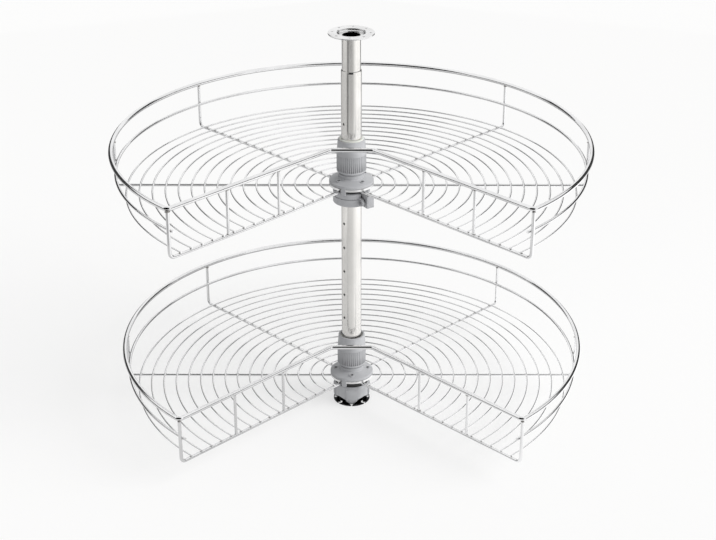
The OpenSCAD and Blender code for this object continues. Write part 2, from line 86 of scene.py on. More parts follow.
def addSockets(tree, wanted):
    for direction, kind, name, value in wanted:
        socket = tree.interface.new_socket(name, in_out=direction, socket_type="NodeSocket" + kind)
        if value is not None:
            socket.default_value = value


surfaceOutputs = [
    ("OUTPUT", "Color", "Color", None),
    ("OUTPUT", "Float", "Roughness", None),
    ("OUTPUT", "Float", "Height", None),
]


def startGroup(tree):  # its inputs, its outputs and the place on the piece
    enter = addNode(tree, "NodeGroupInput")
    leave = addNode(tree, "NodeGroupOutput")
    place = addNode(tree, "ShaderNodeTexCoord")
    return enter, leave, place


def measureFromPost(tree, place):  # the distance from the post's axis, and the height
    flat = addNode(tree, "ShaderNodeVectorMath", {1: (1, 1, 0)}, operation="MULTIPLY")
    radius = addNode(tree, "ShaderNodeVectorMath", operation="LENGTH")
    height = addNode(tree, "ShaderNodeSeparateXYZ")
    tree.links.new(place.outputs["Object"], flat.inputs[0])
    tree.links.new(flat.outputs[0], radius.inputs[0])
    tree.links.new(place.outputs["Object"], height.inputs[0])
    return radius, height


def makePlatingGroup():  # clouds and fine drawn marks of plated metal, with painted shade inside a tube and below a given height
    tree = bpy.data.node_groups.new("platingMarks", "ShaderNodeTree")
    addSockets(tree, [
        ("INPUT", "Color", "Clear Tint", (0.8, 0.8, 0.8, 1)),
        ("INPUT", "Color", "Dull Tint", (0.7, 0.7, 0.7, 1)),
        ("INPUT", "Vector", "Stretch", (1, 1, 1)),
        ("INPUT", "Float", "Cloud Scale", 9.0),
        ("INPUT", "Float", "Mark Scale", 700.0),
        ("INPUT", "Float", "Mark Share", 0.35),
        ("INPUT", "Float", "Least Roughness", 0.1),
        ("INPUT", "Float", "Most Roughness", 0.25),
        ("INPUT", "Float", "Bore Radius", 0.0),
        ("INPUT", "Float", "Shade Below Height", -1.0),
        ("INPUT", "Color", "Painted Bore Shade", (0.02, 0.02, 0.02, 1)),
    ] + surfaceOutputs)
    enter, leave, place = startGroup(tree)
    radius, height = measureFromPost(tree, place)
    stretch = addNode(tree, "ShaderNodeVectorMath", operation="MULTIPLY")
    clouds = addNode(tree, "ShaderNodeTexNoise", {"Detail": 4.0, "Roughness": 0.6})
    marks = addNode(tree, "ShaderNodeTexNoise", {"Detail": 2.0, "Roughness": 0.5})
    cloudRange = addNode(tree, "ShaderNodeMapRange", {"From Min": 0.35, "From Max": 0.65})
    both = addNode(tree, "ShaderNodeMath", operation="MULTIPLY_ADD")
    tint = addNode(tree, "ShaderNodeMix", data_type="RGBA")
    rough = addNode(tree, "ShaderNodeMapRange")
    # painted shade: near black inside the bore and below the given height, where the tube lies in shade
    inBore = addNode(tree, "ShaderNodeMath", operation="LESS_THAN")
    hidden = addNode(tree, "ShaderNodeMath", operation="LESS_THAN")
    dark = addNode(tree, "ShaderNodeMath", operation="MAXIMUM")
    boreShaded = addNode(tree, "ShaderNodeMix", data_type="RGBA")
    link = tree.links.new
    link(radius.outputs["Value"], inBore.inputs[0])
    link(enter.outputs["Bore Radius"], inBore.inputs[1])
    link(height.outputs["Z"], hidden.inputs[0])
    link(enter.outputs["Shade Below Height"], hidden.inputs[1])
    link(inBore.outputs[0], dark.inputs[0])
    link(hidden.outputs[0], dark.inputs[1])
    link(dark.outputs[0], boreShaded.inputs["Factor"])
    link(tint.outputs["Result"], boreShaded.inputs["A"])
    link(enter.outputs["Painted Bore Shade"], boreShaded.inputs["B"])
    link(place.outputs["Object"], stretch.inputs[0])
    link(enter.outputs["Stretch"], stretch.inputs[1])
    link(place.outputs["Object"], clouds.inputs["Vector"])
    link(stretch.outputs[0], marks.inputs["Vector"])
    link(enter.outputs["Cloud Scale"], clouds.inputs["Scale"])
    link(enter.outputs["Mark Scale"], marks.inputs["Scale"])
    link(clouds.outputs["Fac"], cloudRange.inputs["Value"])
    link(marks.outputs["Fac"], both.inputs[0])
    link(enter.outputs["Mark Share"], both.inputs[1])
    link(cloudRange.outputs["Result"], both.inputs[2])
    link(cloudRange.outputs["Result"], tint.inputs["Factor"])
    link(enter.outputs["Clear Tint"], tint.inputs["A"])
    link(enter.outputs["Dull Tint"], tint.inputs["B"])
    link(both.outputs[0], rough.inputs["Value"])
    link(enter.outputs["Least Roughness"], rough.inputs["To Min"])
    link(enter.outputs["Most Roughness"], rough.inputs["To Max"])
    link(boreShaded.outputs["Result"], leave.inputs["Color"])
    link(rough.outputs["Result"], leave.inputs["Roughness"])
    link(marks.outputs["Fac"], leave.inputs["Height"])
    return tree


def makeMouldedGroup():  # mottled, grained plastic, with painted shade in a hollow foot and low in its flutes
    tree = bpy.data.node_groups.new("mouldedGrain", "ShaderNodeTree")
    addSockets(tree, [
        ("INPUT", "Color", "Base Tint", (0.3, 0.3, 0.3, 1)),
        ("INPUT", "Color", "Rubbed Tint", (0.4, 0.4, 0.4, 1)),
        ("INPUT", "Float", "Mottle Scale", 45.0),
        ("INPUT", "Float", "Grain Scale", 2200.0),
        ("INPUT", "Float", "Rubbed Amount", 0.5),
        ("INPUT", "Float", "Least Roughness", 0.35),
        ("INPUT", "Float", "Most Roughness", 0.55),
        ("INPUT", "Float", "Hollow Low Height", 0.0025),
        ("INPUT", "Float", "Hollow High Height", 0.0135),
        ("INPUT", "Float", "Hollow Low Radius", 0.0),
        ("INPUT", "Float", "Hollow High Radius", 0.0),
        ("INPUT", "Color", "Painted Hollow Shade", (0.012, 0.012, 0.012, 1)),
        ("INPUT", "Float", "Flute Radius", 0.0),
        ("INPUT", "Float", "Flute Low", 0.0),
        ("INPUT", "Float", "Flute High", 1.0),
        ("INPUT", "Color", "Painted Flute Shade", (0.17, 0.17, 0.18, 1)),
    ] + surfaceOutputs)
    enter, leave, place = startGroup(tree)
    radius, height = measureFromPost(tree, place)
    mottle = addNode(tree, "ShaderNodeTexNoise", {"Detail": 5.0, "Roughness": 0.55})
    grain = addNode(tree, "ShaderNodeTexNoise", {"Detail": 1.0, "Roughness": 0.5})
    mottleRange = addNode(tree, "ShaderNodeMapRange", {"From Min": 0.4, "From Max": 0.7})
    amount = addNode(tree, "ShaderNodeMath", operation="MULTIPLY")
    tint = addNode(tree, "ShaderNodeMix", data_type="RGBA")
    rough = addNode(tree, "ShaderNodeMapRange")
    wall = addNode(tree, "ShaderNodeMapRange")
    # painted shade: near black inside the hollow foot, within a radius that grows between the two heights
    inHollow = addNode(tree, "ShaderNodeMath", operation="LESS_THAN")
    hollowShaded = addNode(tree, "ShaderNodeMix", data_type="RGBA")
    # painted shade low in the flutes, fading out upwards
    inFlute = addNode(tree, "ShaderNodeMath", operation="LESS_THAN")
    overLow = addNode(tree, "ShaderNodeMath", operation="GREATER_THAN")
    fade = addNode(tree, "ShaderNodeMapRange", {"To Min": 1.0, "To Max": 0.0})
    banded = addNode(tree, "ShaderNodeMath", operation="MULTIPLY")
    fluteShadeMask = addNode(tree, "ShaderNodeMath", operation="MULTIPLY")
    fluteShaded = addNode(tree, "ShaderNodeMix", data_type="RGBA")
    link = tree.links.new
    link(height.outputs["Z"], wall.inputs["Value"])
    link(enter.outputs["Hollow Low Height"], wall.inputs["From Min"])
    link(enter.outputs["Hollow High Height"], wall.inputs["From Max"])
    link(enter.outputs["Hollow Low Radius"], wall.inputs["To Min"])
    link(enter.outputs["Hollow High Radius"], wall.inputs["To Max"])
    link(radius.outputs["Value"], inHollow.inputs[0])
    link(wall.outputs["Result"], inHollow.inputs[1])
    link(inHollow.outputs[0], hollowShaded.inputs["Factor"])
    link(tint.outputs["Result"], hollowShaded.inputs["A"])
    link(enter.outputs["Painted Hollow Shade"], hollowShaded.inputs["B"])
    link(radius.outputs["Value"], inFlute.inputs[0])
    link(enter.outputs["Flute Radius"], inFlute.inputs[1])
    link(height.outputs["Z"], overLow.inputs[0])
    link(enter.outputs["Flute Low"], overLow.inputs[1])
    link(height.outputs["Z"], fade.inputs["Value"])
    link(enter.outputs["Flute Low"], fade.inputs["From Min"])
    link(enter.outputs["Flute High"], fade.inputs["From Max"])
    link(inFlute.outputs[0], banded.inputs[0])
    link(overLow.outputs[0], banded.inputs[1])
    link(banded.outputs[0], fluteShadeMask.inputs[0])
    link(fade.outputs["Result"], fluteShadeMask.inputs[1])
    link(fluteShadeMask.outputs[0], fluteShaded.inputs["Factor"])
    link(hollowShaded.outputs["Result"], fluteShaded.inputs["A"])
    link(enter.outputs["Painted Flute Shade"], fluteShaded.inputs["B"])
    link(place.outputs["Object"], mottle.inputs["Vector"])
    link(place.outputs["Object"], grain.inputs["Vector"])
    link(enter.outputs["Mottle Scale"], mottle.inputs["Scale"])
    link(enter.outputs["Grain Scale"], grain.inputs["Scale"])
    link(mottle.outputs["Fac"], mottleRange.inputs["Value"])
    link(mottleRange.outputs["Result"], amount.inputs[0])
    link(enter.outputs["Rubbed Amount"], amount.inputs[1])
    link(amount.outputs[0], tint.inputs["Factor"])
    link(enter.outputs["Base Tint"], tint.inputs["A"])
    link(enter.outputs["Rubbed Tint"], tint.inputs["B"])
    link(mottle.outputs["Fac"], rough.inputs["Value"])
    link(enter.outputs["Least Roughness"], rough.inputs["To Max"])
    link(enter.outputs["Most Roughness"], rough.inputs["To Min"])
    link(fluteShaded.outputs["Result"], leave.inputs["Color"])
    link(rough.outputs["Result"], leave.inputs["Roughness"])
    link(grain.outputs["Fac"], leave.inputs["Height"])
    return tree


def makeSunkGroup():  # dark plating with bright countersinks on a pitch circle
    tree = bpy.data.node_groups.new("sunkPlating", "ShaderNodeTree")
    addSockets(tree, [
        ("INPUT", "Color", "Face Tint", (0.03, 0.03, 0.03, 1)),
        ("INPUT", "Color", "Sink Tint", (0.9, 0.9, 0.9, 1)),
        ("INPUT", "Float", "Pitch Radius", 0.03),
        ("INPUT", "Float", "Sink Radius", 0.004),
        ("INPUT", "Float", "Hole Angle", math.radians(45)),
        ("INPUT", "Float", "Mark Scale", 900.0),
        ("INPUT", "Float", "Least Roughness", 0.1),
        ("INPUT", "Float", "Most Roughness", 0.25),
    ] + surfaceOutputs)
    enter, leave, place = startGroup(tree)
    parts = addNode(tree, "ShaderNodeSeparateXYZ")
    turn = addNode(tree, "ShaderNodeMath", operation="ARCTAN2")
    nearest = addNode(tree, "ShaderNodeMath", operation="SNAP")  # the angle of the nearest hole
    half = addNode(tree, "ShaderNodeMath", {1: 0.5}, operation="MULTIPLY")
    shifted = addNode(tree, "ShaderNodeMath", operation="ADD")
    x = addNode(tree, "ShaderNodeMath", operation="COSINE")
    y = addNode(tree, "ShaderNodeMath", operation="SINE")
    middle = addNode(tree, "ShaderNodeCombineXYZ")
    pitched = addNode(tree, "ShaderNodeVectorMath", operation="SCALE")
    flat = addNode(tree, "ShaderNodeVectorMath", {1: (1, 1, 0)}, operation="MULTIPLY")
    away = addNode(tree, "ShaderNodeVectorMath", operation="DISTANCE")
    inSink = addNode(tree, "ShaderNodeMath", operation="LESS_THAN")
    tint = addNode(tree, "ShaderNodeMix", data_type="RGBA")
    marks = addNode(tree, "ShaderNodeTexNoise", {"Detail": 2.0, "Roughness": 0.5})
    rough = addNode(tree, "ShaderNodeMapRange")
    link = tree.links.new
    link(place.outputs["Object"], parts.inputs[0])
    link(parts.outputs["Y"], turn.inputs[0])
    link(parts.outputs["X"], turn.inputs[1])
    link(enter.outputs["Hole Angle"], half.inputs[0])
    link(turn.outputs[0], shifted.inputs[0])
    link(half.outputs[0], shifted.inputs[1])
    link(shifted.outputs[0], nearest.inputs[0])
    link(enter.outputs["Hole Angle"], nearest.inputs[1])
    link(nearest.outputs[0], x.inputs[0])
    link(nearest.outputs[0], y.inputs[0])
    link(x.outputs[0], middle.inputs["X"])
    link(y.outputs[0], middle.inputs["Y"])
    link(middle.outputs[0], pitched.inputs[0])
    link(enter.outputs["Pitch Radius"], pitched.inputs["Scale"])
    link(place.outputs["Object"], flat.inputs[0])
    link(flat.outputs[0], away.inputs[0])
    link(pitched.outputs[0], away.inputs[1])
    link(away.outputs["Value"], inSink.inputs[0])
    link(enter.outputs["Sink Radius"], inSink.inputs[1])
    link(inSink.outputs[0], tint.inputs["Factor"])
    link(enter.outputs["Face Tint"], tint.inputs["A"])
    link(enter.outputs["Sink Tint"], tint.inputs["B"])
    link(place.outputs["Object"], marks.inputs["Vector"])
    link(enter.outputs["Mark Scale"], marks.inputs["Scale"])
    link(marks.outputs["Fac"], rough.inputs["Value"])
    link(enter.outputs["Least Roughness"], rough.inputs["To Min"])
    link(enter.outputs["Most Roughness"], rough.inputs["To Max"])
    link(tint.outputs["Result"], leave.inputs["Color"])
    link(rough.outputs["Result"], leave.inputs["Roughness"])
    link(marks.outputs["Fac"], leave.inputs["Height"])
    return tree


platingMarks = makePlatingGroup()
mouldedGrain = makeMouldedGroup()
sunkPlating = makeSunkGroup()


def makeFinish(name, group, values, shader, bump):  # bump is its strength and its depth
    mat = bpy.data.materials.new(name)
    mat.use_nodes = True
    tree = mat.node_tree
    surface = tree.nodes["Principled BSDF"]
    for key, value in shader.items():
        surface.inputs[key].default_value = value
    marks = addNode(tree, "ShaderNodeGroup", values, node_tree=group)
    raised = addNode(tree, "ShaderNodeBump", {"Strength": bump[0], "Distance": bump[1]})
    tree.links.new(marks.outputs["Color"], surface.inputs["Base Color"])
    tree.links.new(marks.outputs["Roughness"], surface.inputs["Roughness"])
    tree.links.new(marks.outputs["Height"], raised.inputs["Height"])
    tree.links.new(raised.outputs["Normal"], surface.inputs["Normal"])
    mat.diffuse_color = list(values.get("Clear Tint") or values.get("Base Tint") or values["Face Tint"])
    return mat


metal = {"Metallic": 1.0}
waxy = {"Coat Weight": 0.05}
tubePlating = {
    "Clear Tint": (0.86, 0.845, 0.82, 1), "Dull Tint": (0.77, 0.755, 0.73, 1), "Stretch": (1.0, 1.0, 0.03),
    "Cloud Scale": 7.0, "Mark Scale": 900.0, "Least Roughness": 0.10, "Most Roughness": 0.20,
}
greyMoulding = {
    "Base Tint": (0.37, 0.375, 0.39, 1), "Rubbed Tint": (0.44, 0.445, 0.46, 1), "Mottle Scale": 60.0,
    "Least Roughness": 0.34, "Most Roughness": 0.5,
}
basketHeights = {"lower": 0.0472, "upper": 0.4235}  # the middles of their spokes
# the band of painted shade in the hubs' flutes
flutes = {"radius": 0.0251, "low": 0.0315, "high": 0.050}  # the last two are above those middles


def fluteBand(level):
    return {"Flute Radius": flutes["radius"], "Flute Low": basketHeights[level] + flutes["low"],
            "Flute High": basketHeights[level] + flutes["high"]}


finishes = {
    "wireChrome": makeFinish("wireChrome", platingMarks, {
        "Clear Tint": (0.88, 0.88, 0.885, 1), "Dull Tint": (0.78, 0.78, 0.785, 1), "Cloud Scale": 14.0,
        "Mark Scale": 420.0, "Least Roughness": 0.05, "Most Roughness": 0.14,
    }, metal, (0.08, 0.0002)),
    "weldChrome": makeFinish("weldChrome", platingMarks, {
        "Clear Tint": (0.55, 0.54, 0.53, 1), "Dull Tint": (0.36, 0.34, 0.32, 1), "Cloud Scale": 160.0,
        "Mark Scale": 1500.0, "Least Roughness": 0.22, "Most Roughness": 0.42,
    }, metal, (0.4, 0.0004)),
    # painted shade inside the outer tube's bore
    "outerTubeChrome": makeFinish("outerTubeChrome", platingMarks, {
        **tubePlating, "Bore Radius": 0.0169}, metal, (0.1, 0.0002)),
    # painted shade inside the inner tube's bore and on its part below 0.53 m, inside the outer tube
    "innerTubeChrome": makeFinish("innerTubeChrome", platingMarks, {
        **tubePlating, "Bore Radius": 0.0154, "Shade Below Height": 0.53}, metal, (0.1, 0.0002)),
    "flangeChrome": makeFinish("flangeChrome", platingMarks, {
        "Clear Tint": (0.86, 0.86, 0.86, 1), "Dull Tint": (0.74, 0.74, 0.74, 1), "Cloud Scale": 30.0,
        "Mark Scale": 1300.0, "Least Roughness": 0.14, "Most Roughness": 0.3,
    }, metal, (0.12, 0.0002)),
    "baseBlack": makeFinish("baseBlack", sunkPlating, {
        "Face Tint": (0.03, 0.03, 0.032, 1), "Sink Tint": (0.92, 0.92, 0.92, 1), "Pitch Radius": 0.0292,
        "Sink Radius": 0.0039, "Hole Angle": math.radians(45),
        "Least Roughness": 0.18, "Most Roughness": 0.32,
    }, metal, (0.12, 0.0002)),
    "greyPlastic": makeFinish("greyPlastic", mouldedGrain, greyMoulding, waxy, (0.15, 0.0002)),
    # painted shade inside the base bearing's hollow foot
    "hollowShadePlastic": makeFinish("hollowShadePlastic", mouldedGrain, {
        **greyMoulding, "Hollow Low Height": 0.0025, "Hollow High Height": 0.0135,
        "Hollow Low Radius": 0.0256, "Hollow High Radius": 0.0296,
    }, waxy, (0.15, 0.0002)),
    # painted shade low in each hub's flutes
    "lowerHubPlastic": makeFinish("lowerHubPlastic", mouldedGrain, {
        **greyMoulding, **fluteBand("lower")}, waxy, (0.15, 0.0002)),
    "upperHubPlastic": makeFinish("upperHubPlastic", mouldedGrain, {
        **greyMoulding, **fluteBand("upper")}, waxy, (0.15, 0.0002)),
    "nylon": makeFinish("nylon", mouldedGrain, {
        "Base Tint": (0.66, 0.66, 0.62, 1), "Rubbed Tint": (0.58, 0.57, 0.53, 1), "Mottle Scale": 70.0,
        "Least Roughness": 0.3, "Most Roughness": 0.45,
    }, {"Subsurface Weight": 0.05}, (0.1, 0.0002)),
    "glideBlack": makeFinish("glideBlack", mouldedGrain, {
        "Base Tint": (0.022, 0.022, 0.024, 1), "Rubbed Tint": (0.05, 0.05, 0.052, 1), "Mottle Scale": 80.0,
        "Least Roughness": 0.4, "Most Roughness": 0.6,
    }, {}, (0.1, 0.0002)),
    "screwSteel": makeFinish("screwSteel", platingMarks, {
        "Clear Tint": (0.08, 0.08, 0.082, 1), "Dull Tint": (0.035, 0.035, 0.037, 1), "Cloud Scale": 120.0,
        "Mark Scale": 1800.0, "Least Roughness": 0.25, "Most Roughness": 0.45,
    }, metal, (0.2, 0.0003)),
    "clampSteel": makeFinish("clampSteel", platingMarks, {
        "Clear Tint": (0.50, 0.50, 0.51, 1), "Dull Tint": (0.38, 0.38, 0.39, 1), "Cloud Scale": 120.0,
        "Mark Scale": 1800.0, "Least Roughness": 0.3, "Most Roughness": 0.5,
    }, metal, (0.2, 0.0003)),
}
slotFinish = {
    "wire_chrome": "wireChrome", "tube_chrome": "outerTubeChrome", "flange_chrome": "flangeChrome",
    "grey_plastic": "greyPlastic", "nylon": "nylon", "glide": "glideBlack", "screw_steel": "screwSteel",
}
nodeFinish = {  # solids whose finish differs from that of their slot
    "base_flange": "baseBlack", "base_bearing": "hollowShadePlastic", "inner_tube": "innerTubeChrome",
    "lower_hub": "lowerHubPlastic", "upper_hub": "upperHubPlastic", "clamp_screw": "clampSteel",
}
for row in frame["record"]["subparts"]:
    mesh = nodes[row["node"]].data
    mesh.materials.clear()
    mesh.materials.append(finishes[nodeFinish.get(row["node"], slotFinish[row["material_slot"]])])
print("finishes made:", len(finishes))

basketPlan = {  # metres, as in the solids
    "rimRadius": 0.406, "uprightRadius": 0.405, "midRadius": 0.39998, "postRadius": 0.4055,
    "outerRing": 0.385, "innerRing": 0.0535, "ringCount": 16, "ringTail": 0.003, "midTail": 0.006,
    "sideOffset": 0.00707, "barWidth": 0.073, "barBend": 0.011, "notchTip": 0.010,
    "height": 0.083, "midDrop": 0.038, "wireInner": 0.029, "spokeBend": 0.008, "frameBend": 0.009,
    "rimWire": 0.004, "frameWire": 0.003, "spokeWire": 0.0025, "midWire": 0.0025, "ringWire": 0.0015,
    "weldGap": 0.00002, "spokeTurns": (0.0, 45.0, 135.0, 180.0), "barsAfterRing": (5, 10),
}
pathSteps = {  # how finely the path of a wire is divided
    "straight": 0.016, "barBend": 6, "corner": 12, "rim": 220, "wireBend": 8,
    "ringLeast": 48, "ringPerMetre": 480,
}


def ringRadius(index):
    plan = basketPlan
    return plan["outerRing"] - index * (plan["outerRing"] - plan["innerRing"]) / (plan["ringCount"] - 1)


def alongSide(radius):
    return math.sqrt(radius ** 2 - basketPlan["sideOffset"] ** 2)


def besideNotch(side, u, v, z):  # u runs outwards along a notch side, v square to it; side 1 is right
    half = math.sqrt(0.5)
    return Vector((side * (u + v) * half, (v - u) * half, z))


def arc(centre, radius, start, end, steps):
    turns = [math.radians(start + (end - start) * i / steps) for i in range(steps + 1)]
    return [(centre[0] + radius * math.cos(t), centre[1] + radius * math.sin(t)) for t in turns]


def subdivide(points, step):  # adds points on long straight stretches
    out = [points[0]]
    for a, b in zip(points, points[1:]):
        count = max(1, int((b - a).length / step + 0.5))
        out += [a.lerp(b, i / count) for i in range(1, count + 1)]
    return out


def rimPath(z):
    plan = basketPlan
    off, bend, radius = plan["sideOffset"], plan["barBend"], plan["rimRadius"]
    corner = (plan["notchTip"] + plan["barWidth"] / 2) * math.sqrt(2) - off
    barStart = corner + bend * math.tan(math.radians(22.5))
    sidePart = arc((barStart, -off - bend), bend, 135, 90, pathSteps["barBend"])
    sidePart += arc((radius - off, 0), off, -90, 0, pathSteps["corner"])
    right = [besideNotch(1, u, v, z) for u, v in sidePart]
    left = [besideNotch(-1, u, v, z) for u, v in reversed(sidePart)]
    mainArc = [besideNotch(1, u, v, z) for u, v in arc((0, 0), radius, 0, 270, pathSteps["rim"])]
    loop = right + mainArc[1:-1] + left
    return subdivide(loop + [loop[0]], pathSteps["straight"])[:-1]


def ringPath(radius, crossRadius, tail, z):  # crossRadius is where it meets the notch's sides
    sideAngle = 45 - math.degrees(math.asin(basketPlan["sideOffset"] / crossRadius))
    opening = sideAngle - math.degrees(tail / radius)
    steps = max(pathSteps["ringLeast"], int(radius * pathSteps["ringPerMetre"]))
    return [Vector((x, y, z)) for x, y in arc((0, 0), radius, opening - 90, 270 - opening, steps)]


def bentPath(place, inner, outer, bend, low, high):  # out along u, then up
    path = [place(inner, low), place(outer - bend, low)]
    bendArc = arc((outer - bend, low + bend), bend, -90, 0, pathSteps["wireBend"])
    path += [place(u, w) for u, w in bendArc][1:]
    return subdivide(path + [place(outer, high)], pathSteps["straight"])


def spokePlace(turn):
    aim = Vector((math.cos(math.radians(turn)), math.sin(math.radians(turn)), 0))
    return lambda u, z: aim * u + Vector((0, 0, z))


def railPlace(side):
    return lambda u, z: besideNotch(side, u, -basketPlan["sideOffset"], z)


def basketPaths(base):  # the wire's radius and the paths of each kind of wire
    plan = basketPlan
    top = base + plan["height"] - plan["rimWire"] - plan["weldGap"]
    midHeight = base + plan["height"] - plan["midDrop"]
    ringHeight = base + plan["spokeWire"] + plan["ringWire"] + plan["weldGap"]
    railHeight = base + plan["spokeWire"] - plan["frameWire"]
    railInner, railOuter = alongSide(plan["wireInner"]), alongSide(plan["postRadius"])
    barFoot = base + plan["spokeWire"] + plan["weldGap"]
    rings = [ringRadius(i) for i in range(plan["ringCount"])]
    bars = [alongSide((rings[i - 1] + rings[i]) / 2) for i in plan["barsAfterRing"]]
    return {
        "rim": (plan["rimWire"], [rimPath(base + plan["height"])]),
        "midRing": (plan["midWire"], [
            ringPath(plan["midRadius"], plan["postRadius"], plan["midTail"], midHeight)]),
        "floorRings": (plan["ringWire"], [ringPath(r, r, plan["ringTail"], ringHeight) for r in rings]),
        "spokes": (plan["spokeWire"], [
            bentPath(spokePlace(turn), plan["wireInner"], plan["uprightRadius"],
                     plan["spokeBend"], base, top)
            for turn in plan["spokeTurns"]]),
        "notchWires": (plan["frameWire"], [
            bentPath(railPlace(side), railInner, railOuter, plan["frameBend"], railHeight, top)
            for side in (-1, 1)]),
        "sideBars": (plan["spokeWire"], [
            subdivide([railPlace(side)(u, z) for z in (barFoot, top)], pathSteps["straight"])
            for side in (-1, 1) for u in bars]),
    }


def makeWireTree():  # a round wire along each path, a little uneven as if bent by hand
    tree = bpy.data.node_groups.new("wireAlongPath", "GeometryNodeTree")
    addSockets(tree, [
        ("INPUT", "Geometry", "Paths", None),
        ("INPUT", "Float", "Wire Radius", 0.002),
        ("INPUT", "Int", "Sides", 12),
        ("INPUT", "Float", "Hand Bend", 0.0006),
        ("INPUT", "Float", "Hand Bend Scale", 5.0),
        ("INPUT", "Material", "Finish", None),
        ("OUTPUT", "Geometry", "Wires", None),
    ])
    enter = addNode(tree, "NodeGroupInput")
    leave = addNode(tree, "NodeGroupOutput")
    place = addNode(tree, "GeometryNodeInputPosition")
    noise = addNode(tree, "ShaderNodeTexNoise", {"Detail": 0.0})
    centre = addNode(tree, "ShaderNodeVectorMath", {1: (0.5, 0.5, 0.5)}, operation="SUBTRACT")
    amount = addNode(tree, "ShaderNodeVectorMath", operation="SCALE")
    shift = addNode(tree, "GeometryNodeSetPosition")
    profile = addNode(tree, "GeometryNodeCurvePrimitiveCircle")
    sweep = addNode(tree, "GeometryNodeCurveToMesh", {"Fill Caps": True})
    corners = addNode(tree, "GeometryNodeInputMeshFaceNeighbors")
    isSide = addNode(tree, "FunctionNodeCompare", data_type="INT", operation="LESS_THAN")
    isSide.inputs["B"].default_value = 5  # the end caps have more corners and stay flat
    smooth = addNode(tree, "GeometryNodeSetShadeSmooth")
    realize = addNode(tree, "GeometryNodeRealizeInstances")
    finish = addNode(tree, "GeometryNodeSetMaterial")
    link = tree.links.new
    link(place.outputs[0], noise.inputs["Vector"])
    link(enter.outputs["Hand Bend Scale"], noise.inputs["Scale"])
    link(noise.outputs["Color"], centre.inputs[0])
    link(centre.outputs[0], amount.inputs[0])
    link(enter.outputs["Hand Bend"], amount.inputs["Scale"])
    link(enter.outputs["Paths"], shift.inputs["Geometry"])
    link(amount.outputs[0], shift.inputs["Offset"])
    link(enter.outputs["Sides"], profile.inputs["Resolution"])
    link(enter.outputs["Wire Radius"], profile.inputs["Radius"])
    link(shift.outputs[0], sweep.inputs["Curve"])
    link(profile.outputs[0], sweep.inputs["Profile Curve"])
    link(corners.outputs["Vertex Count"], isSide.inputs["A"])
    link(sweep.outputs[0], smooth.inputs["Geometry"])
    link(isSide.outputs[0], smooth.inputs["Shade Smooth"])
    link(smooth.outputs[0], realize.inputs[0])
    link(realize.outputs[0], finish.inputs["Geometry"])
    link(enter.outputs["Finish"], finish.inputs["Material"])
    link(finish.outputs[0], leave.inputs["Wires"])
    return tree


def makeBeadTree():  # a flattened nugget of weld at each point
    tree = bpy.data.node_groups.new("weldAtPoints", "GeometryNodeTree")
    addSockets(tree, [
        ("INPUT", "Geometry", "Points", None),
        ("INPUT", "Vector", "Bead Size", (0.002, 0.0015, 0.0008)),
        ("INPUT", "Float", "Size Spread", 0.2),
        ("INPUT", "Int", "Seed", 3),
        ("INPUT", "Material", "Finish", None),
        ("OUTPUT", "Geometry", "Beads", None),
    ])
    enter = addNode(tree, "NodeGroupInput")
    leave = addNode(tree, "NodeGroupOutput")
    nugget = addNode(tree, "GeometryNodeMeshUVSphere", {"Segments": 10, "Rings": 6, "Radius": 1.0})
    smooth = addNode(tree, "GeometryNodeSetShadeSmooth")
    turn = addNode(tree, "GeometryNodeInputNamedAttribute", {"Name": "beadTurn"}, data_type="FLOAT_VECTOR")
    size = addNode(tree, "GeometryNodeInputNamedAttribute", {"Name": "beadSize"}, data_type="FLOAT")
    spread = addNode(tree, "FunctionNodeRandomValue", data_type="FLOAT")
    low = addNode(tree, "ShaderNodeMath", {0: 1.0}, operation="SUBTRACT")
    high = addNode(tree, "ShaderNodeMath", {0: 1.0}, operation="ADD")
    factor = addNode(tree, "ShaderNodeMath", operation="MULTIPLY")
    scaled = addNode(tree, "ShaderNodeVectorMath", operation="SCALE")
    instance = addNode(tree, "GeometryNodeInstanceOnPoints")
    realize = addNode(tree, "GeometryNodeRealizeInstances")
    finish = addNode(tree, "GeometryNodeSetMaterial")
    link = tree.links.new
    link(enter.outputs["Size Spread"], low.inputs[1])
    link(enter.outputs["Size Spread"], high.inputs[1])
    link(low.outputs[0], spread.inputs[2])
    link(high.outputs[0], spread.inputs[3])
    link(enter.outputs["Seed"], spread.inputs["Seed"])
    link(size.outputs["Attribute"], factor.inputs[0])
    link(spread.outputs[1], factor.inputs[1])
    link(enter.outputs["Bead Size"], scaled.inputs[0])
    link(factor.outputs[0], scaled.inputs["Scale"])
    link(nugget.outputs["Mesh"], smooth.inputs["Geometry"])
    link(enter.outputs["Points"], instance.inputs["Points"])
    link(smooth.outputs[0], instance.inputs["Instance"])
    link(turn.outputs["Attribute"], instance.inputs["Rotation"])
    link(scaled.outputs[0], instance.inputs["Scale"])
    link(instance.outputs[0], realize.inputs[0])
    link(realize.outputs[0], finish.inputs["Geometry"])
    link(enter.outputs["Finish"], finish.inputs["Material"])
    link(finish.outputs[0], leave.inputs["Beads"])
    return tree


wireAlongPath = makeWireTree()
weldAtPoints = makeBeadTree()


def runTree(name, source, tree, values):  # evaluates a tree on an object and keeps its plain mesh
    modifier = source.modifiers.new("maker", "NODES")
    modifier.node_group = tree
    for item in tree.interface.items_tree:
        if item.item_type == "SOCKET" and item.in_out == "INPUT" and item.name in values:
            modifier[item.identifier] = values[item.name]
    bpy.context.view_layer.update()
    plain = bpy.data.meshes.new_from_object(source.evaluated_get(bpy.context.evaluated_depsgraph_get()))
    plain.name = name
    bpy.data.objects.remove(source)
    piece = bpy.data.objects.new(name, plain)
    bpy.context.scene.collection.objects.link(piece)
    return piece


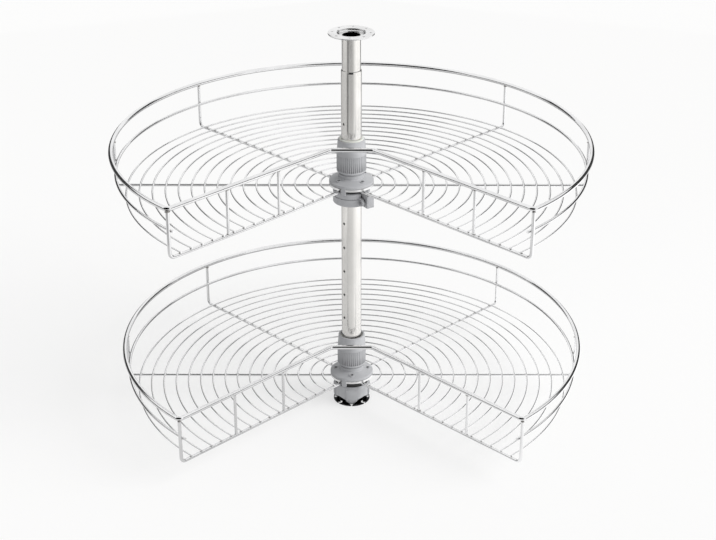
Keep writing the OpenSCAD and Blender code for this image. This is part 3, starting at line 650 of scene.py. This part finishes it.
wireLook = {
    "sides": {"rim": 20, "midRing": 14, "floorRings": 10, "spokes": 14, "notchWires": 16, "sideBars": 14},
    "handBend": 0.0008, "handBendScale": 4.0, "endBevel": 0.0004, "endShare": 0.8,
    "replaced": {
        "rim": ("rim",), "midRing": ("mid_ring",), "floorRings": ("floor_rings",),
        "spokes": ("left_spoke", "right_spoke", "rear_left_spoke", "rear_right_spoke"),
        "notchWires": ("left_frame", "right_frame"), "sideBars": ("side_bars",),
    },
}


def pathObject(name, paths, closed):
    bevel, share = wireLook["endBevel"], wireLook["endShare"]
    curve = bpy.data.curves.new(name + "Path", "CURVE")
    curve.dimensions = "3D"
    for path in paths:
        points = [(p, 1.0) for p in path]
        if not closed:  # the ends are bevelled
            first = (path[1] - path[0]).normalized() * bevel
            last = (path[-2] - path[-1]).normalized() * bevel
            points = [(path[0], share), (path[0] + first, 1.0)] + points[1:-1]
            points += [(path[-1] + last, 1.0), (path[-1], share)]
        spline = curve.splines.new("POLY")
        spline.points.add(len(points) - 1)
        spline.use_cyclic_u = closed
        for point, (place, radius) in zip(spline.points, points):
            point.co = (*place, 1.0)
            point.radius = radius
    holder = bpy.data.objects.new(name + "Path", curve)
    bpy.context.scene.collection.objects.link(holder)
    return holder


weldLook = {
    "size": (0.0021, 0.0017, 0.0007), "spread": 0.22, "seeds": {"lower": 5, "upper": 11},
    "ring": 1.0, "middle": 1.2, "bar": 1.6, "upright": 1.7, "post": 2.0,  # times the size
}


def weldPoints(base):  # place, turn and size of every weld in a basket
    plan = basketPlan
    seam = base + plan["spokeWire"] + plan["weldGap"] / 2
    top = base + plan["height"] - plan["rimWire"]
    midHeight = base + plan["height"] - plan["midDrop"]
    midSeam = plan["midRadius"] + plan["midWire"]
    upended = math.radians(90)
    spots = []
    for i in range(plan["ringCount"]):
        radius = ringRadius(i)
        for turn in plan["spokeTurns"]:
            aim = math.radians(turn)
            place = (radius * math.cos(aim), radius * math.sin(aim), seam)
            spots.append((place, (0, 0, aim), weldLook["ring"]))
        for side in (-1, 1):
            place = railPlace(side)(alongSide(radius), seam)
            spots.append((tuple(place), (0, 0, -side * math.radians(45)), weldLook["ring"]))
    for turn in plan["spokeTurns"]:
        aim = math.radians(turn)
        place = (midSeam * math.cos(aim), midSeam * math.sin(aim), midHeight)
        spots.append((place, (0, upended, aim), weldLook["middle"]))
        place = (plan["uprightRadius"] * math.cos(aim), plan["uprightRadius"] * math.sin(aim), top)
        spots.append((place, (0, 0, aim), weldLook["upright"]))
    for side in (-1, 1):
        onRail = railPlace(side)
        sideTurn = (0, 0, -side * math.radians(45))
        corner = onRail(alongSide(midSeam), midHeight)
        spots.append((tuple(corner), (0, upended, math.atan2(corner.y, corner.x)), weldLook["middle"]))
        spots.append((tuple(onRail(alongSide(plan["postRadius"]), top)), sideTurn, weldLook["post"]))
        for after in plan["barsAfterRing"]:
            u = alongSide((ringRadius(after - 1) + ringRadius(after)) / 2)
            spots += [(tuple(onRail(u, z)), sideTurn, weldLook["bar"]) for z in (seam, top)]
    return spots


def makeWelds(level, base):
    spots = weldPoints(base)
    mesh = bpy.data.meshes.new(level + "WeldSpots")
    mesh.from_pydata([place for place, turn, size in spots], [], [])
    mesh.attributes.new("beadTurn", "FLOAT_VECTOR", "POINT")
    mesh.attributes.new("beadSize", "FLOAT", "POINT")
    turns = [angle for place, turn, size in spots for angle in turn]
    mesh.attributes["beadTurn"].data.foreach_set("vector", turns)
    mesh.attributes["beadSize"].data.foreach_set("value", [size for place, turn, size in spots])
    holder = bpy.data.objects.new(level + "WeldSpots", mesh)
    bpy.context.scene.collection.objects.link(holder)
    return runTree(level + "Welds", holder, weldAtPoints, {
        "Bead Size": weldLook["size"], "Size Spread": weldLook["spread"],
        "Seed": weldLook["seeds"][level], "Finish": finishes["weldChrome"],
    })


for level, base in basketHeights.items():
    body = level + "_basket"
    for part, (radius, paths) in basketPaths(base).items():
        holder = pathObject(level + part, paths, part == "rim")
        wire = runTree(level + part[0].upper() + part[1:], holder, wireAlongPath, {
            "Wire Radius": radius, "Sides": wireLook["sides"][part], "Hand Bend": wireLook["handBend"],
            "Hand Bend Scale": wireLook["handBendScale"], "Finish": finishes["wireChrome"],
        })
        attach(wire, body)
        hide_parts(*[level + "_" + name for name in wireLook["replaced"][part]])
    welds = makeWelds(level, base)
    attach(welds, body)
    print(level, "basket wired,", len(weldPoints(base)), "welds")

studio = {
    "floor": {"size": 40.0, "color": (0.36, 0.36, 0.36, 1), "glow": 0.57, "roughness": 0.7,
              "specular": 0.1},
    "skyLight": 0.55,
    "skySeen": 1.0,
    "sun": {"toward": (0.84, -0.27, 0.50), "strength": 3.5, "angle": 48.0, "color": (1.0, 0.995, 0.98)},
    "frontFlag": {"toward": (-0.28, -0.86, 0.44), "distance": 2.1, "radius": 1.9, "height": 0.3,
                  "corners": 36, "shade": 0.0},
    "sideWalls": {"back": 1.5, "near": 0.85, "far": 5.0, "front": -3.0, "height": 1.9, "shade": 0.05},
    "floorFlags": {  # cards round the base: shades by the angle from the front, right is positive
        "lift": 0.0015,
        "rings": (
            (0.04, 0.95, ((-180, 0.42), (-140, 0.60), (-120, 0.74), (-40, 0.68), (-15, 0.72), (12, 0.80),
                          (32, 1.00), (60, 1.22), (118, 1.24), (140, 0.75), (180, 0.42))),
            (0.95, 1.34, ((-180, 0.36), (-140, 0.56), (-120, 0.74), (-56, 0.82), (-50, 0.58), (-38, 0.52),
                          (-32, 0.78), (15, 0.76), (35, 1.06), (60, 1.32), (118, 1.32), (140, 0.66),
                          (180, 0.36))),
            (1.34, 2.6, ((-180, 0.30), (-140, 0.50), (-120, 0.62), (-56, 0.70), (-50, 0.22), (-38, 0.18),
                         (-30, 0.54), (12, 0.50), (22, 0.56), (38, 0.98), (60, 1.35), (118, 1.35),
                         (140, 0.60), (180, 0.30))),
        ),
    },
}


def seenByMetal(tree):  # 1 for what the camera and the metal see, 0 for what lights the object
    light = addNode(tree, "ShaderNodeLightPath")
    metal = addNode(tree, "ShaderNodeMath", operation="MAXIMUM")
    seen = addNode(tree, "ShaderNodeMath", operation="MAXIMUM")
    tree.links.new(light.outputs["Is Glossy Ray"], metal.inputs[0])
    tree.links.new(light.outputs["Is Transmission Ray"], metal.inputs[1])
    tree.links.new(light.outputs["Is Camera Ray"], seen.inputs[0])
    tree.links.new(metal.outputs[0], seen.inputs[1])
    return seen.outputs[0]


def makeFloor(spec):
    half = spec["size"] / 2
    corners = [(-half, -half, 0), (half, -half, 0), (half, half, 0), (-half, half, 0)]
    mesh = bpy.data.meshes.new("studioFloor")
    mesh.from_pydata(corners, [], [(0, 1, 2, 3)])
    floor = bpy.data.objects.new("studioFloor", mesh)
    bpy.context.scene.collection.objects.link(floor)
    mat = bpy.data.materials.new("paleFloor")
    mat.use_nodes = True
    surface = mat.node_tree.nodes["Principled BSDF"]
    surface.inputs["Base Color"].default_value = spec["color"]
    surface.inputs["Roughness"].default_value = spec["roughness"]
    surface.inputs["Specular IOR Level"].default_value = spec["specular"]
    surface.inputs["Emission Color"].default_value = (1, 1, 1, 1)
    surface.inputs["Emission Strength"].default_value = spec["glow"]
    mesh.materials.append(mat)


def makeFlag(name, verts, faces, shades):  # a card that only the metal's reflections see
    mesh = bpy.data.meshes.new(name)
    mesh.from_pydata(verts, [], faces)
    mesh.attributes.new("shade", "FLOAT", "POINT").data.foreach_set("value", shades)
    flag = bpy.data.objects.new(name, mesh)
    bpy.context.scene.collection.objects.link(flag)
    mat = bpy.data.materials.new(name)
    mat.use_nodes = True
    tree = mat.node_tree
    tree.nodes.remove(tree.nodes["Principled BSDF"])
    shade = addNode(tree, "ShaderNodeAttribute", attribute_name="shade")
    card = addNode(tree, "ShaderNodeEmission")
    tree.links.new(shade.outputs["Fac"], card.inputs["Color"])
    tree.links.new(card.outputs[0], tree.nodes["Material Output"].inputs["Surface"])
    mesh.materials.append(mat)
    flag.visible_camera = False
    flag.visible_diffuse = False
    flag.visible_shadow = False
    flag.visible_transmission = False


def makeFrontFlag(spec):
    toward = Vector(spec["toward"]).normalized()
    across = toward.cross(Vector((0, 0, 1))).normalized()
    upward = across.cross(toward)
    centre = Vector((0, 0, spec["height"])) + toward * spec["distance"]
    turns = [math.radians(360 * i / spec["corners"]) for i in range(spec["corners"])]
    disc = [centre + (across * math.cos(t) + upward * math.sin(t)) * spec["radius"] for t in turns]
    makeFlag("frontFlag", disc, [tuple(range(len(disc)))], [spec["shade"]] * len(disc))


def makeSideWalls(spec):
    near, far, back, front = (spec[key] for key in ("near", "far", "back", "front"))
    for side in (-1, 1):
        plan = [(near, back), (far, back), (far, front)]
        verts = [(side * x, y, z) for x, y in plan for z in (0.0, spec["height"])]
        makeFlag("sideWall", verts, [(0, 2, 3, 1), (2, 4, 5, 3)], [spec["shade"]] * len(verts))


def makeFloorFlags(spec):
    for inner, outer, shadesByAngle in spec["rings"]:
        verts, shades = [], []
        for angle, shade in shadesByAngle:
            turn = math.radians(angle - 90)
            verts += [(r * math.cos(turn), r * math.sin(turn), spec["lift"]) for r in (inner, outer)]
            shades += [shade, shade]
        faces = [(i, i + 1, i + 3, i + 2) for i in range(0, len(verts) - 2, 2)]
        makeFlag("floorFlag", verts, faces, shades)


def makeSun(spec):
    data = bpy.data.lights.new("sunSoftbox", "SUN")
    data.energy = spec["strength"]
    data.angle = math.radians(spec["angle"])
    data.color = spec["color"]
    lamp = bpy.data.objects.new("sunSoftbox", data)
    lamp.rotation_euler = Vector(spec["toward"]).to_track_quat("Z", "Y").to_euler()
    lamp.visible_glossy = False
    bpy.context.scene.collection.objects.link(lamp)


def makeSky(light, seen):  # one strength lights the object, the other is what camera and metal see
    world = bpy.data.worlds.new("studioAir")
    bpy.context.scene.world = world
    world.use_nodes = True
    air = world.node_tree.nodes["Background"]
    air.inputs["Color"].default_value = (1, 1, 1, 1)
    strength = addNode(world.node_tree, "ShaderNodeMapRange", {"To Min": light, "To Max": seen})
    world.node_tree.links.new(seenByMetal(world.node_tree), strength.inputs["Value"])
    world.node_tree.links.new(strength.outputs["Result"], air.inputs["Strength"])


makeFloor(studio["floor"])
makeFrontFlag(studio["frontFlag"])
makeSideWalls(studio["sideWalls"])
makeFloorFlags(studio["floorFlags"])
makeSun(studio["sun"])
makeSky(studio["skyLight"], studio["skySeen"])
bpy.context.scene.view_settings.view_transform = "Standard"
print("studio lit")
